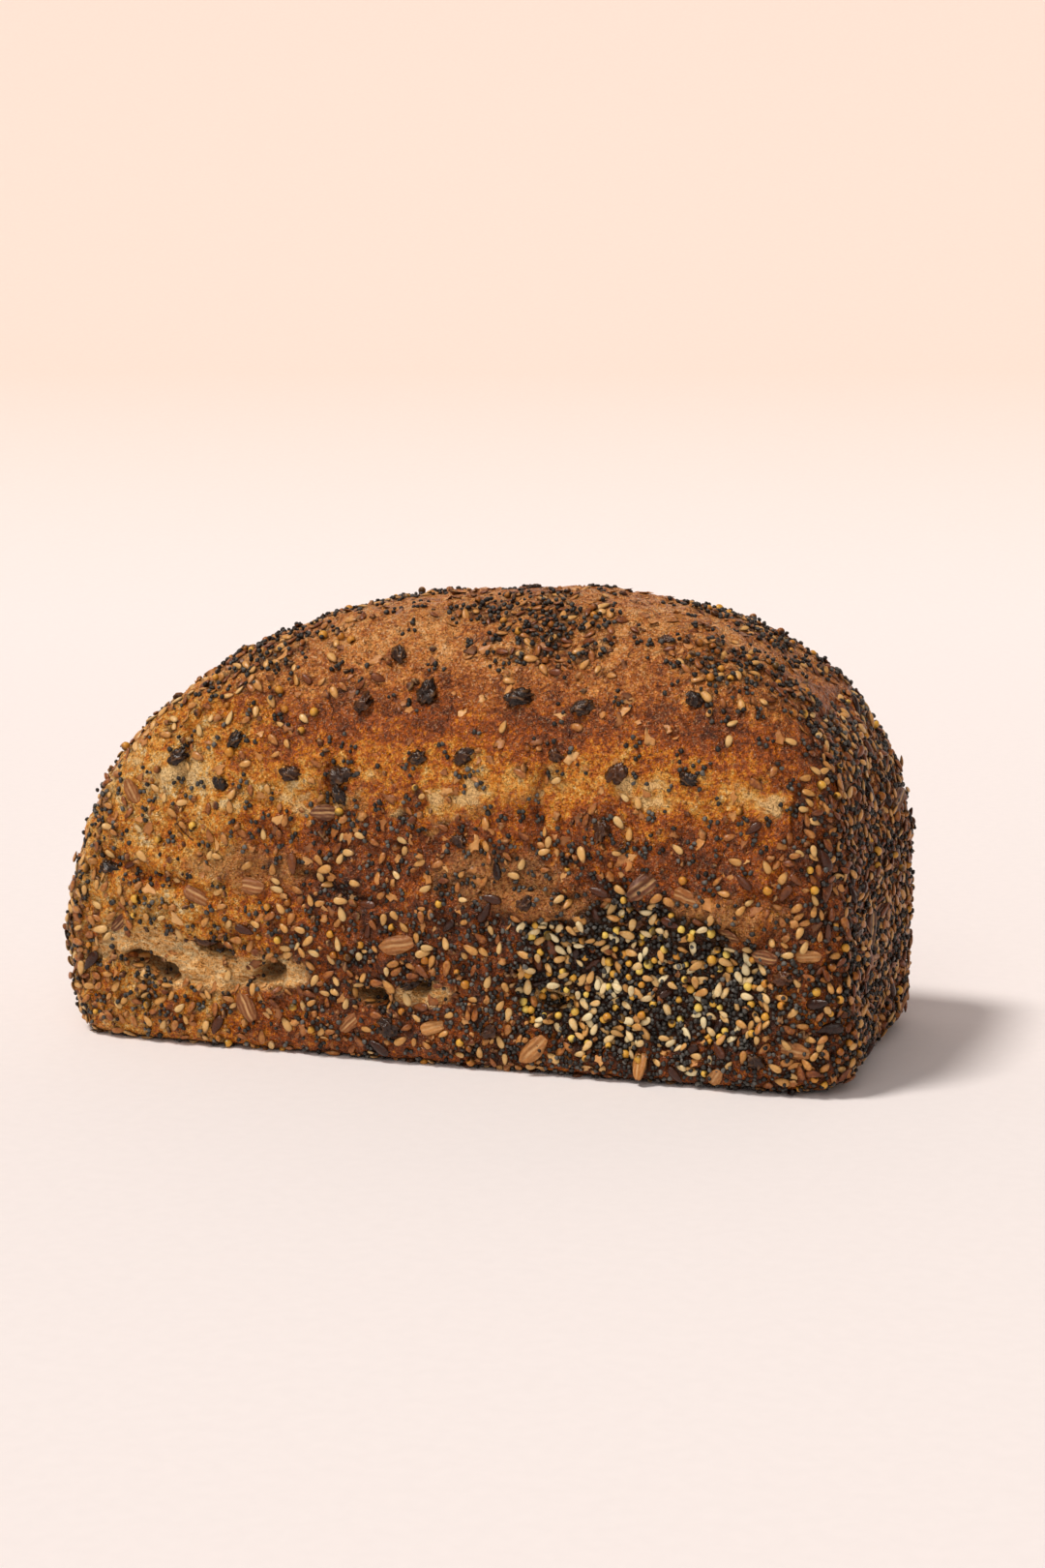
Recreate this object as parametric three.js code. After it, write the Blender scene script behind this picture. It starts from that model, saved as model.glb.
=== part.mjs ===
// A small seeded loaf of bread, baked in an open tin. One solid: the crust, the crumb inside it and
// the seeds baked into it are one piece of bread. Millimetres, +Z up, +X along the loaf. The origin is
// the centre of the flat base.
//
// The tin formed the base, the upright walls and their rounded corners. Above them the dough rose
// free, as a dome that falls away gently at one end and steeply at the other.

import * as THREE from "three";
import { mergeVertices } from "three/addons/utils/BufferGeometryUtils.js";

// Driving dimensions of the loaf.
const LENGTH = 181.5;
const WIDTH = 90;
const HEIGHT = 101.2;
const WALL_HEIGHT = 28; // where the tin's upright walls end and the free-risen dome begins

// The tin: its walls lean outwards, and it rounds the edge round the base.
const WALL_LEAN = 2; // how much further out a wall stands at its top than at the base
const BASE_EDGE_RADIUS = 4.5;

// Roundness of each curve, as the exponent of a superellipse: 2 is an ellipse, more is squarer.
const WALL_CORNERS = 10; // the outline seen from above, where the tin's walls stood
const CROWN_CORNERS = 5; // and at the top of the dome
const DOME_ACROSS = 2.5; // the dome seen from an end
const DOME_GENTLE_END = 2.08; // the dome along the loaf, towards -X
const DOME_STEEP_END = 2.5; // and towards +X
const CROWN_SHIFT = 7; // how far the top of the dome lies towards +X

// Grid lines along, across and up the loaf, and how far they are drawn towards the edges of the grid,
// where the rounding is tight. 0 leaves them even.
const SEGMENTS = { along: 36, across: 18, up: 20 };
const GATHER = 0.3;

// Swellings (height over 0) and hollows (under 0) of the crust. Each is a smooth hill about a point of
// the crust, with its reach along each axis.
const HILLS = [
  { at: [-52, -40, 66], reach: [26, 20, 18], height: 1.2 }, // front, over the gentle end
  { at: [30, -38, 72], reach: [30, 18, 13], height: 2.4 }, // front shoulder of the dome
  { at: [-8, -44, 50], reach: [34, 16, 8], height: -1.6 }, // pale break line above the tin's rim
  { at: [48, -45, 22], reach: [22, 14, 15], height: -2.4 }, // where the dough didn't fill the tin
  { at: [92, -44, 8], reach: [20, 22, 24], height: 5.5 }, // corner pressed into the tin's own corner
  { at: [94, 4, 10], reach: [16, 50, 18], height: 2.6 }, // and the foot of that end
  { at: [-74, 0, 68], reach: [16, 50, 14], height: 1.0 }, // gentle end's shoulder
  { at: [-93, 0, 42], reach: [14, 60, 8], height: -1.4 }, // where the gentle end rose past the tin's rim
  { at: [-60, -45, 20], reach: [26, 14, 9], height: -1.4 }, // torn patch of the wall
  { at: [68, -20, 70], reach: [18, 22, 16], height: 2.0 }, // steep end's shoulder
  { at: [-30, 40, 64], reach: [34, 20, 14], height: 2.3 }, // back shoulder
  { at: [46, 42, 60], reach: [26, 18, 14], height: 1.8 }, // back, over the steep end
  { at: [4, 45, 44], reach: [44, 14, 7], height: -1.3 }, // break line along the back
  { at: [-10, 0, 100], reach: [22, 30, 14], height: -0.8 }, // dip over the crown
  { at: [34, 0, 100], reach: [22, 30, 14], height: 0.8 }, // and the swell beside it
];

// A superellipse's half width, as a share, at a share of its height.
const arch = (share, roundness) =>
  (1 - share ** roundness) ** (1 / roundness);

// Whether a point lies in the bread, before its swellings.
function isBread([x, y, z]) {
  if (z < 0 || z > HEIGHT) return false;
  const rise = Math.max(0, (z - WALL_HEIGHT) / (HEIGHT - WALL_HEIGHT));
  const drop = Math.max(0, (WALL_HEIGHT - z) / WALL_HEIGHT);
  const under = Math.max(0, (BASE_EDGE_RADIUS - z) / BASE_EDGE_RADIUS);
  const tuck = WALL_LEAN * drop + BASE_EDGE_RADIUS * (1 - arch(under, 2));
  const along = x - CROWN_SHIFT * rise;
  const domeAlong = along < 0 ? DOME_GENTLE_END : DOME_STEEP_END;
  const halfLength = (LENGTH / 2) * arch(rise, domeAlong) - tuck;
  const halfWidth = (WIDTH / 2) * arch(rise, DOME_ACROSS) - tuck;
  if (halfLength <= 0 || halfWidth <= 0) return false;
  const corners = WALL_CORNERS + (CROWN_CORNERS - WALL_CORNERS) * rise;
  return (
    (Math.abs(along) / halfLength) ** corners +
      (Math.abs(y) / halfWidth) ** corners <
    1
  );
}

// How far along a ray from the heart of the loaf its crust lies.
const HEART = new THREE.Vector3(0, 0, WALL_HEIGHT);
function crustDistance(ray) {
  let inside = 0;
  let outside = LENGTH;
  for (let step = 0; step < 40; step++) {
    const middle = (inside + outside) / 2;
    const point = HEART.clone().addScaledVector(ray, middle);
    if (isBread(point.toArray())) inside = middle;
    else outside = middle;
  }
  return inside;
}

// The height of all swellings and hollows at a point of the crust.
function swelling(point) {
  return HILLS.reduce((sum, { at, reach, height }) => {
    const distance = Math.hypot(
      (point.x - at[0]) / reach[0],
      (point.y - at[1]) / reach[1],
      (point.z - at[2]) / reach[2],
    );
    return sum + height * Math.exp(-(distance ** 2));
  }, 0);
}

// A grid coordinate from -1 to 1, moved towards the nearer edge.
const gathered = (share) => share * (1 + GATHER * (1 - share * share));

// Each point of a gridded box round the loaf is moved along its own ray from the heart to the crust, so
// that the grid stays even over the walls, the dome and the base, and the box's edges follow the loaf's.
// Points on the base stay on it, which keeps it flat.
function loafGeometry() {
  const box = new THREE.BoxGeometry(
    2, 2, 2,
    SEGMENTS.along, SEGMENTS.across, SEGMENTS.up,
  );
  box.deleteAttribute("normal");
  box.deleteAttribute("uv");
  const geometry = mergeVertices(box);
  const corners = geometry.getAttribute("position");
  for (let i = 0; i < corners.count; i++) {
    const onBox = new THREE.Vector3(
      (gathered(corners.getX(i)) * LENGTH) / 2,
      (gathered(corners.getY(i)) * WIDTH) / 2,
      ((gathered(corners.getZ(i)) + 1) * HEIGHT) / 2,
    );
    const ray = onBox.sub(HEART).normalize();
    const crust = HEART.clone().addScaledVector(ray, crustDistance(ray));
    const aboveBase = Math.min(1, crust.z / BASE_EDGE_RADIUS);
    crust.addScaledVector(ray, swelling(crust) * aboveBase);
    corners.setXYZ(i, crust.x, crust.y, aboveBase < 0.001 ? 0 : crust.z);
  }
  geometry.computeBoundingBox();
  const middle = geometry.boundingBox.getCenter(new THREE.Vector3());
  geometry.translate(-middle.x, -middle.y, 0);
  geometry.computeVertexNormals();
  return geometry;
}

const crust = new THREE.MeshStandardMaterial({
  name: "crust",
  color: 0x9a5f2e,
  roughness: 0.75,
  metalness: 0,
});

const loaf = new THREE.Mesh(loafGeometry(), crust);
loaf.name = "loaf";

const bread = new THREE.Group();
bread.add(loaf);

export default bread;
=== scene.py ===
"""A seeded tin loaf: a crust baked round a soft crumb, with poppy, sesame, millet and linseed, grain
flakes and bran baked into it. The crust is modelled over the loaf's solid, and every seed is a small
closed mesh of its own, sunk into the crust."""

import itertools
import math
from collections import namedtuple

import bmesh
import bpy
import numpy as np
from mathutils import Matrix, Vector
from mathutils.bvhtree import BVHTree
from mathutils.kdtree import KDTree


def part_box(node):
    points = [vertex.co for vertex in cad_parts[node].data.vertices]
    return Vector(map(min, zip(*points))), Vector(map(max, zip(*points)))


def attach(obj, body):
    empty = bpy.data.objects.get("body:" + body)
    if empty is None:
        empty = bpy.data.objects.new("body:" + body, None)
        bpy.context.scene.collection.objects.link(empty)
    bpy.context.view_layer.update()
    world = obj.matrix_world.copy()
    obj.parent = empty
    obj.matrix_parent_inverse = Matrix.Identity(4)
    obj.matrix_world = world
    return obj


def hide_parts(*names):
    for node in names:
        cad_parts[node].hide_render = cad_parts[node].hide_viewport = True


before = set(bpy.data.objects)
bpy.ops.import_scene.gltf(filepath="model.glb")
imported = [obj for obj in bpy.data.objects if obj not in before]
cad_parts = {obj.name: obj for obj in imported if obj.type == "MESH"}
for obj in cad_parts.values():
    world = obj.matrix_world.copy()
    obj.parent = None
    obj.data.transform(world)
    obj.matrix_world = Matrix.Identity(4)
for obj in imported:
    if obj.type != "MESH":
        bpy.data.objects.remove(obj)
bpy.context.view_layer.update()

MM = 0.001
RANDOM = np.random.default_rng(41)

# The loaf's sides, in millimetres. Everything below works in millimetres, in the loaf's own frame.
LOW, HIGH = (np.array(corner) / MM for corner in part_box("loaf"))
SIDES = HIGH - LOW
HEIGHT = SIDES[2]
HEART = np.array((0.0, 0.0, 0.31 * HEIGHT))  # from here every point of the crust can be seen


# ---------------------------------------------------------------- smooth random values and soft steps

GRADIENTS = RANDOM.normal(size=(256, 3))
GRADIENTS /= np.linalg.norm(GRADIENTS, axis=1)[:, None]
SHUFFLED = RANDOM.permutation(256)


def lumps(points, size, shift=0.0):
    """Smooth random values, mostly -1 to 1, with lumps about size across."""
    at = points / size + shift
    cell = np.floor(at).astype(int)
    part = at - cell
    fade = part**3 * (part * (part * 6 - 15) + 10)
    total = np.zeros(len(points))
    for corner in itertools.product((0, 1), repeat=3):
        i, j, k = (cell + corner).T & 255
        pick = SHUFFLED[(SHUFFLED[(SHUFFLED[i] + j) & 255] + k) & 255]
        slope = np.einsum("ij,ij->i", GRADIENTS[pick], part - corner)
        weight = np.prod(np.where(corner, fade, 1 - fade), axis=1)
        total += weight * slope
    return 1.6 * total


def rough_lumps(points, size, octaves, shift=0.0):
    """Lumps with finer lumps on them, each octave half the size and half the height."""
    return sum(lumps(points, size / 2**i, shift + 7.3 * i) / 2**i for i in range(octaves))


def soft_step(value, start, end):
    """0 before start, 1 after end, and smooth between them. start may be the larger."""
    share = np.clip((value - start) / (end - start), 0, 1)
    return share * share * (3 - 2 * share)


def patch(points, centre, reach, tilt=0.0, edge=0.35, wobble=0.35):
    """1 in an uneven patch round a point of the crust and 0 outside it. tilt turns it on the front wall."""
    x, y, z = (points - centre).T
    turn = math.radians(tilt)
    along = x * math.cos(turn) + z * math.sin(turn)
    up = z * math.cos(turn) - x * math.sin(turn)
    distance = np.sqrt((along / reach[0]) ** 2 + (y / reach[1]) ** 2 + (up / reach[2]) ** 2)
    distance = distance + wobble * rough_lumps(points, 6.0, 3, centre[0])
    return soft_step(distance, 1 + edge, 1 - edge)


def patches(points, places, **shape):
    """The strongest of several patches at each point."""
    return np.max([patch(points, np.array(at), reach, tilt, **shape) for at, reach, tilt in places], axis=0)


# ---------------------------------------------------------------- the crust's mesh

GRID_STEP = 0.965  # spacing of the crust's grid, as fine as keeps the mesh under 200 000 triangles
GATHER = 0.3  # how far the grid is drawn towards the loaf's edges, as the solid's own is
EASING_ROUNDS = 40  # enough to round off the solid's facets
BASE_GAP = 0.8  # how far the crust of the base stands off the table, on its seeds


def box_grid(counts):
    """A closed box of square cells: its corners from -1 to 1, its faces, and each face corner's place in a
    flat layout of the six sides."""
    corners, faces, layout = [], [], []
    for axis, end in itertools.product(range(3), (0, 1)):
        across, up = (a for a in range(3) if a != axis)
        wide, tall = counts[across], counts[up]
        i, j = (a.ravel() for a in np.meshgrid(np.arange(wide), np.arange(tall), indexing="ij"))
        outward = end == (axis != 1)
        steps = ((0, 0), (1, 0), (1, 1), (0, 1)) if outward else ((0, 0), (0, 1), (1, 1), (1, 0))
        quad = np.zeros((len(i), 4, 3), int)
        for corner, (di, dj) in enumerate(steps):
            quad[:, corner, axis] = end * counts[axis]
            quad[:, corner, across] = i + di
            quad[:, corner, up] = j + dj
        flat = quad[:, :, (across, up)] / np.max(counts)
        if axis == 0:
            start = (1.02, 0.6 * end)
        else:
            start = (0.0, (1.2 if axis == 2 else 0.0) + 0.6 * end)
        faces.append(quad)
        layout.append((flat + start) / 2.45)
    quads = np.concatenate(faces)
    keys = (quads @ ((counts[1] + 1) * (counts[2] + 1), counts[2] + 1, 1)).ravel()
    _, first, index = np.unique(keys, return_index=True, return_inverse=True)
    corners = quads.reshape(-1, 3)[first] / counts * 2 - 1
    return corners, index.reshape(-1, 4), np.concatenate(layout)


def corner_normals(points, faces):
    """Each point's outward direction, from the faces round it."""
    a, b, c, d = (points[faces[:, i]] for i in (0, 1, 2, -1))
    across = np.cross(c - a, d - b)
    total = np.zeros_like(points)
    for i in range(faces.shape[1]):
        for axis in range(3):
            total[:, axis] += np.bincount(faces[:, i], across[:, axis], len(points))
    return total / np.linalg.norm(total, axis=1)[:, None]


def eased(points, faces, rounds):
    """The points drawn towards the middle of their neighbours, which rounds off small facets."""
    ends = np.concatenate([faces[:, (i, (i + 1) % 4)] for i in range(4)])
    ends = np.unique(np.sort(ends, axis=1), axis=0)
    both = np.concatenate((ends, ends[:, ::-1]))
    count = np.bincount(both[:, 0], minlength=len(points))
    on_base = points[:, 2] < 0.01
    for _ in range(rounds):
        middle = np.stack(
            [np.bincount(both[:, 0], points[both[:, 1], axis], len(points)) for axis in range(3)], 1
        )
        points = (points + middle / count[:, None]) / 2
        points[on_base, 2] = 0
    return points


def smooth_loaf():
    """The loaf's solid, seen along rays from its heart, on an even grid and without its facets."""
    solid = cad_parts["loaf"].data
    surface = BVHTree.FromPolygons(
        [v.co / MM for v in solid.vertices], [tuple(p.vertices) for p in solid.polygons]
    )
    counts = np.round(SIDES / GRID_STEP).astype(int)
    corners, faces, layout = box_grid(counts)
    drawn = corners * (1 + GATHER * (1 - corners**2))
    targets = drawn * SIDES / 2 + (LOW + HIGH) / 2
    rays = targets - HEART
    points = np.array([surface.ray_cast(Vector(HEART), Vector(ray))[0] for ray in rays])
    return eased(points, faces, EASING_ROUNDS), faces, layout


WALL_INSET = 2  # how far the walls stand inside the loaf's box, about half way up


def front(along, up):
    """A point of the front wall, from its shares of half the loaf's length and of its height."""
    return np.array((along * HIGH[0], LOW[1] + WALL_INSET, up * HEIGHT))


def back(along, up):
    """The same for the back wall."""
    return np.array((along * HIGH[0], HIGH[1] - WALL_INSET, up * HEIGHT))


def crown(along, across):
    """A point over the crown, from its shares of half the loaf's length and of half its width."""
    return np.array((along * HIGH[0], across * HIGH[1], HEIGHT))


BREAK_UP = 0.6  # the break above the tin's rim, as a share of the loaf's height
MIDDLE_UP = 0.4  # the middle of the wall
FOOT_UP = 0.15  # the band that the tin's foot pressed
PLACE_STRAYS = (0.08, 0.04)  # how far a place strays from its row, in the same shares


def strewn(wall, count, ends, up, reach, tilt):
    """Places in a loose row along a wall, between two shares of its length."""
    places = []
    for along in np.linspace(*ends, count):
        strays = RANDOM.uniform(-1, 1, 2) * PLACE_STRAYS
        size = np.array(reach) * RANDOM.uniform(0.7, 1.3)
        places.append((wall(along + strays[0], up + strays[1]), size, RANDOM.uniform(-tilt, tilt)))
    return places


# Places on the crust, as (a point, its reach along, across and up the loaf, its tilt). The largest torn
# patch and the drift lie on two of the solid's own hollows. The others lie in loose rows.
TORN_PATCHES = [  # where the dough stuck to the tin and the crumb shows
    (front(-0.65, 0.2), (22, 14, 6), -6),
    *strewn(front, 4, (-0.4, 0.3), FOOT_UP, (7, 9, 3), 15),
    *strewn(back, 2, (-0.3, 0.4), FOOT_UP, (13, 10, 4), 10),
]
DRIFT = [(front(0.52, 0.22), (27, 12, 17), 0)]  # the hollow where loose seeds filled the tin's corner
PALE_SKIN = [  # dough that sprang up last, stretched thin and pale
    *strewn(front, 7, (-0.7, 0.75), BREAK_UP, (11, 9, 4), 20),
    *strewn(back, 3, (-0.5, 0.5), BREAK_UP, (15, 10, 4), 8),
]
FOLDS = [  # narrow grooves between lobes of dough
    *strewn(front, 4, (-0.7, 0.8), BREAK_UP, (1.3, 8, 10), 12),
    *strewn(front, 3, (-0.75, 0.3), MIDDLE_UP, (12, 8, 1.3), 30),
    *strewn(back, 3, (-0.6, 0.6), MIDDLE_UP, (14, 9, 1.4), 12),
]


def over_drift(share):
    """A point on the drift's upper edge, at a share of its reach along the loaf."""
    middle, reach, _ = DRIFT[0]
    return middle + reach * np.array((share, 0, np.sqrt(1 - share**2)))


LEDGES = [(over_drift(share), (13, 10, 5), 10 * share) for share in (-0.6, 0.6)]  # dough run out over it
PITTED = [  # skin with tiny open pores, where the dough only just met the tin
    *LEDGES,
    *strewn(front, 3, (-0.4, 0.6), MIDDLE_UP, (11, 9, 4.5), 12),
    *strewn(back, 2, (-0.5, 0.4), MIDDLE_UP, (12, 10, 5), 10),
]
THROUGH = 4 * HEIGHT  # the reach up the loaf of a place that is only bounded along and across it
CLUSTER_LENGTHS = (9, 14)
CLUSTER_WIDTHS = (7, 10)


def crown_clusters(count):
    """Seeds that stayed together on the crown, mostly towards the steep end."""
    places = []
    for _ in range(count):
        point = crown(RANDOM.triangular(-0.8, 0.7, 0.9), RANDOM.uniform(-0.7, 0.7))
        reach = (RANDOM.uniform(*CLUSTER_LENGTHS), RANDOM.uniform(*CLUSTER_WIDTHS), THROUGH)
        places.append((point, reach, 0))
    return places


CROWN_CLUSTERS = crown_clusters(12)
HOLE_EVERY = 5  # one hole for so many millimetres of a torn patch
HOLE_LENGTHS = (2.0, 4.5)
HOLE_HEIGHTS = (1.3, 2.3)
HOLE_DEPTH = 5


def gas_holes():
    """Bubbles of the crumb, torn open, at random places in each torn patch."""
    holes = []
    for centre, reach, tilt in TORN_PATCHES:
        for _ in range(int(reach[0] / HOLE_EVERY)):
            strays = RANDOM.uniform(-0.6, 0.6, 3) * reach * (1, 0, 1)
            size = (RANDOM.uniform(*HOLE_LENGTHS), HOLE_DEPTH, RANDOM.uniform(*HOLE_HEIGHTS))
            holes.append((centre + strays, size, tilt + RANDOM.uniform(-15, 15)))
    return holes


HOLES = gas_holes()


def shape_crust(points, faces):
    """The crust as it baked: its lumps, blisters, folds and torn places. Returns its points and, for each
    point, how strongly each kind of place is there."""
    normals = corner_normals(points, faces)
    z = points[:, 2]
    wobbly = points + 3 * np.stack([lumps(points, 14, s) for s in (1.5, 20.5, 40.5)], 1)
    on_wall = soft_step(z, 70, 54)
    on_crown = soft_step(z, 66, 84)
    places = {
        "torn": patches(points, TORN_PATCHES, edge=0.12, wobble=0.5),
        "holes": patches(points, HOLES, edge=0.25, wobble=0.2),
        "pale": patches(points, PALE_SKIN, edge=0.6, wobble=0.8),
        "drift": patches(points, DRIFT, edge=0.12, wobble=0.3),
        "ledges": patches(points, LEDGES, edge=0.3, wobble=0.4),
        "pitted": patches(points, PITTED, edge=0.35, wobble=0.5),
        "folds": patches(wobbly, FOLDS, edge=0.45, wobble=0.2),
        "clusters": patches(points, CROWN_CLUSTERS, edge=0.4, wobble=0.6) * soft_step(z, 62, 76),
    }
    # Drying skin draws into fine wrinkles on the crown; the tin presses the walls into low, flat lumps.
    # Each height is in millimetres.
    wrinkles = 1 - np.abs(rough_lumps(wobbly, 5.5, 3, 3.3))
    fibres = lumps(wobbly * (0.35, 1, 1.6), 2.6, 9.1)
    height = 0.7 * rough_lumps(points, 26, 2, 5.0)
    height += 0.70 * rough_lumps(points, 8, 4, 2.0)
    height += on_crown * 1.1 * (wrinkles - 0.6)
    height += on_wall * 0.60 * np.tanh(2.2 * rough_lumps(points, 4.2, 2, 8.0))
    height += 0.30 * lumps(points, 2.2, 17.0)
    height += 1.5 * places["ledges"]
    height -= places["drift"] * (2.2 + 0.5 * lumps(points, 5, 6.6))
    height -= places["torn"] * (1.2 + 1.0 * fibres + 0.5 * lumps(points, 2.0, 4.4))
    height += 2.4 * places["torn"] * (1 - places["torn"])
    height -= 4.6 * places["holes"]
    height -= 1.7 * places["folds"]
    height += 0.35 * places["pitted"] * lumps(points, 2.1, 7.7)
    # The base is flat, and stands a seed's depth off the table.
    above = soft_step(z, 0.0, 5.0)
    points = points + normals * (height * above)[:, None]
    on_base = normals[:, 2] < -0.8
    points[on_base, 2] += (0.25 * lumps(points[on_base], 7, 3.0)).clip(-0.2, 0.4)
    points[:, 2] = np.maximum(points[:, 2], BASE_GAP * (1 + 0.4 * lumps(points, 9, 1.0)))
    places["on_base"] = soft_step(-normals[:, 2], 0.7, 0.95)
    return points, places


def toast_of(points, places):
    """How dark each point of the crust baked, from 0, pale dough, to 1, nearly black. The crown met the
    oven's heat and the walls the tin's. The dough that sprang up last, above the tin's rim, stayed pale."""
    x, _, z = points.T
    heights = (0, 12, 32, 46, 56, 63, 68, 74, 80, 88, 104)
    toasts = (0.52, 0.49, 0.53, 0.54, 0.48, 0.37, 0.40, 0.60, 0.57, 0.49, 0.49)
    rise = 5 * lumps(points, 30, 2.2) + 2.5 * lumps(points, 9, 4.2)
    toast = np.interp(z + rise, heights, toasts)
    gentle_end = soft_step(x, -25, -62)
    steep_end = soft_step(x, 58, 84)
    golden = 0.18 + 0.10 * soft_step(z, 32, 8) + 0.14 * soft_step(z, 62, 90)
    toast += gentle_end * (golden - toast) * 0.85
    toast += 0.10 * soft_step(x, -45, -15) * soft_step(z, 58, 46)
    toast += steep_end * (0.56 - toast) * 0.75
    toast += 0.10 * rough_lumps(points, 11, 3, 6.1)
    toast += 0.08 * rough_lumps(points, 3.2, 2, 1.7)
    # Darker in the folds' grooves, and lighter on the ledges raised over the drift.
    toast += 0.16 * places["folds"] - 0.12 * places["ledges"] - 0.04 * places["pitted"]
    wisps = lumps(points * (0.4, 1, 1.5), 5.0, 31.0) + 0.5 * lumps(points, 3.0, 11.0)
    toast -= 0.17 * places["pale"] * (0.7 + 1.1 * wisps)
    return toast.clip(0.02, 1)


# ---------------------------------------------------------------- the seeds' meshes


def shell(segments, rings):
    """A closed round shell with its poles at -X and +X, as each point's place along it (-1 to 1) and round
    it, its triangles, and the triangles' corners in a flat layout from 0 to 1."""
    angle = np.arange(1, rings + 1) / (rings + 1) * math.pi
    along = np.concatenate(([-1.0], np.repeat(-np.cos(angle), segments), [1.0]))
    turn = np.concatenate(([0.0], np.tile(np.arange(segments) / segments, rings), [0.0])) * math.tau
    faces, layout = [], []
    last = len(along) - 1
    for s in range(segments):
        e = (s + 1) % segments
        left, right, middle = s / segments, (s + 1) / segments, (s + 0.5) / segments
        faces.append((0, 1 + e, 1 + s))
        layout.append(((middle, 0), (right, 1 / (rings + 1)), (left, 1 / (rings + 1))))
        for r in range(rings - 1):
            a, b = 1 + r * segments, 1 + (r + 1) * segments
            low, high = (r + 1) / (rings + 1), (r + 2) / (rings + 1)
            faces.append((a + s, a + e, b + e))
            layout.append(((left, low), (right, low), (right, high)))
            faces.append((a + s, b + e, b + s))
            layout.append(((left, low), (right, high), (left, high)))
        a = 1 + (rings - 1) * segments
        faces.append((last, a + s, a + e))
        layout.append(((middle, 1), (left, rings / (rings + 1)), (right, rings / (rings + 1))))
    return along, turn, np.array(faces), np.array(layout)


def ovoid(along, turn, taper=0.0, point=0.0):
    """A unit seed: taper makes its +X end slimmer, point draws that end out."""
    girth = np.sqrt(np.maximum(0, 1 - along**2)) * (1 - taper * along)
    x = along + point * np.maximum(0, along) ** 4
    return np.stack((x, girth * np.cos(turn), girth * np.sin(turn)), 1)


def poppy_form(along, turn, rng):
    """A kidney, bent round its scar."""
    seed = ovoid(along, turn, taper=rng.uniform(-0.1, 0.15))
    seed[:, 1] += 0.35 * (seed[:, 0] ** 2 - 0.5)
    return seed, np.zeros(len(seed))


def sesame_form(along, turn, rng):
    """A flat teardrop, a little hollow on its broad faces."""
    seed = ovoid(along, turn, taper=0.24, point=0.16)
    rim = np.abs(np.cos(turn)) ** 2
    seed[:, 2] *= 0.88 + 0.2 * rim
    seed[:, 2] += rng.uniform(-0.25, 0.25) * seed[:, 0] ** 2
    return seed, soft_step(along, 0.55, 0.95)


def millet_form(along, turn, rng):
    """A round grain with a dimple where it grew."""
    seed = ovoid(along, turn, taper=rng.uniform(0, 0.08))
    dimple = soft_step(along, -0.80, -1.0)
    seed[:, 0] += rng.uniform(0.15, 0.5) * dimple
    return seed, dimple


def linseed_form(along, turn, rng):
    """A flat, smooth drop with a slightly hooked tip."""
    seed = ovoid(along, turn, taper=0.18, point=0.22)
    seed[:, 1] += 0.12 * np.maximum(0, along) ** 3
    seed[:, 2] *= 1 + 0.25 * np.sin(turn) * rng.uniform(0, 1)
    return seed, np.zeros(len(seed))


def flake_form(along, turn, rng):
    """A rolled grain: a groove down its face, ribs beside it and a ragged edge."""
    seed = ovoid(along, turn, taper=rng.uniform(-0.05, 0.15), point=0.05)
    shift = rng.uniform(0, 90)
    seed[:, :2] *= (1 + 0.20 * rough_lumps(seed, 0.8, 2, shift))[:, None]
    upper = seed[:, 2] > 0
    across = seed[:, 1] + 0.10 * lumps(seed * (1, 0, 0), 0.7, shift)
    groove = np.exp(-((across / 0.13) ** 2))
    ribs = (0.5 + 0.5 * np.cos(across * 12)) * (1 + lumps(seed, 0.5, shift + 9)).clip(0, 2)
    seed[:, 2] += upper * (0.34 * ribs - 0.6 * groove) * (1 - along**4)
    seed[:, 2] += rng.uniform(0.1, 0.5) * seed[:, 0] ** 2
    return seed, upper * np.clip(groove + 0.5 * ribs - 0.2, 0, 1) * (1 - along**4)


def bran_form(along, turn, rng):
    """A curled shard of husk or of dried skin, thin as paper and torn all round."""
    seed = ovoid(along, turn)
    angle = np.arctan2(seed[:, 1], seed[:, 0])
    torn = sum(rng.uniform(0.05, 0.28) * np.sin(n * angle + rng.uniform(0, 6)) for n in (2, 3, 5, 7))
    seed[:, :2] *= (1 + torn)[:, None]
    curl = rng.uniform(-1, 4, 3)
    seed[:, 2] += curl[0] * seed[:, 0] ** 2 + curl[1] * seed[:, 1] ** 2 + curl[2] * seed[:, 0] * seed[:, 1]
    return seed, np.clip(1 - np.hypot(seed[:, 0], seed[:, 1]), 0, 1)


def clump_form(along, turn, rng):
    """A few dark grains baked into one craggy lump, with sharp ridges between hollow facets."""
    seed = ovoid(along, turn, taper=rng.uniform(-0.3, 0.4))
    shift = rng.uniform(0, 90)
    facets = np.abs(lumps(seed, 0.9, shift)).clip(0, 0.5)
    crags = rough_lumps(seed, 0.45, 2, shift + 17)
    seed *= (1.25 - 1.3 * facets + 0.30 * crags)[:, None]
    # The mark is on the sharp ridges, and the malt's coat paints it paler, partly as a painted highlight.
    return seed, soft_step(facets, 0.12, 0.02) * soft_step(crags, -0.4, 0.2)


def crumb_form(along, turn, rng):
    """A crumb of dried dough."""
    seed = ovoid(along, turn)
    crags = lumps(seed, 0.8, rng.uniform(0, 90))
    seed *= (1 + 0.65 * crags)[:, None]
    return seed, soft_step(crags, 0.0, 0.5)


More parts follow.
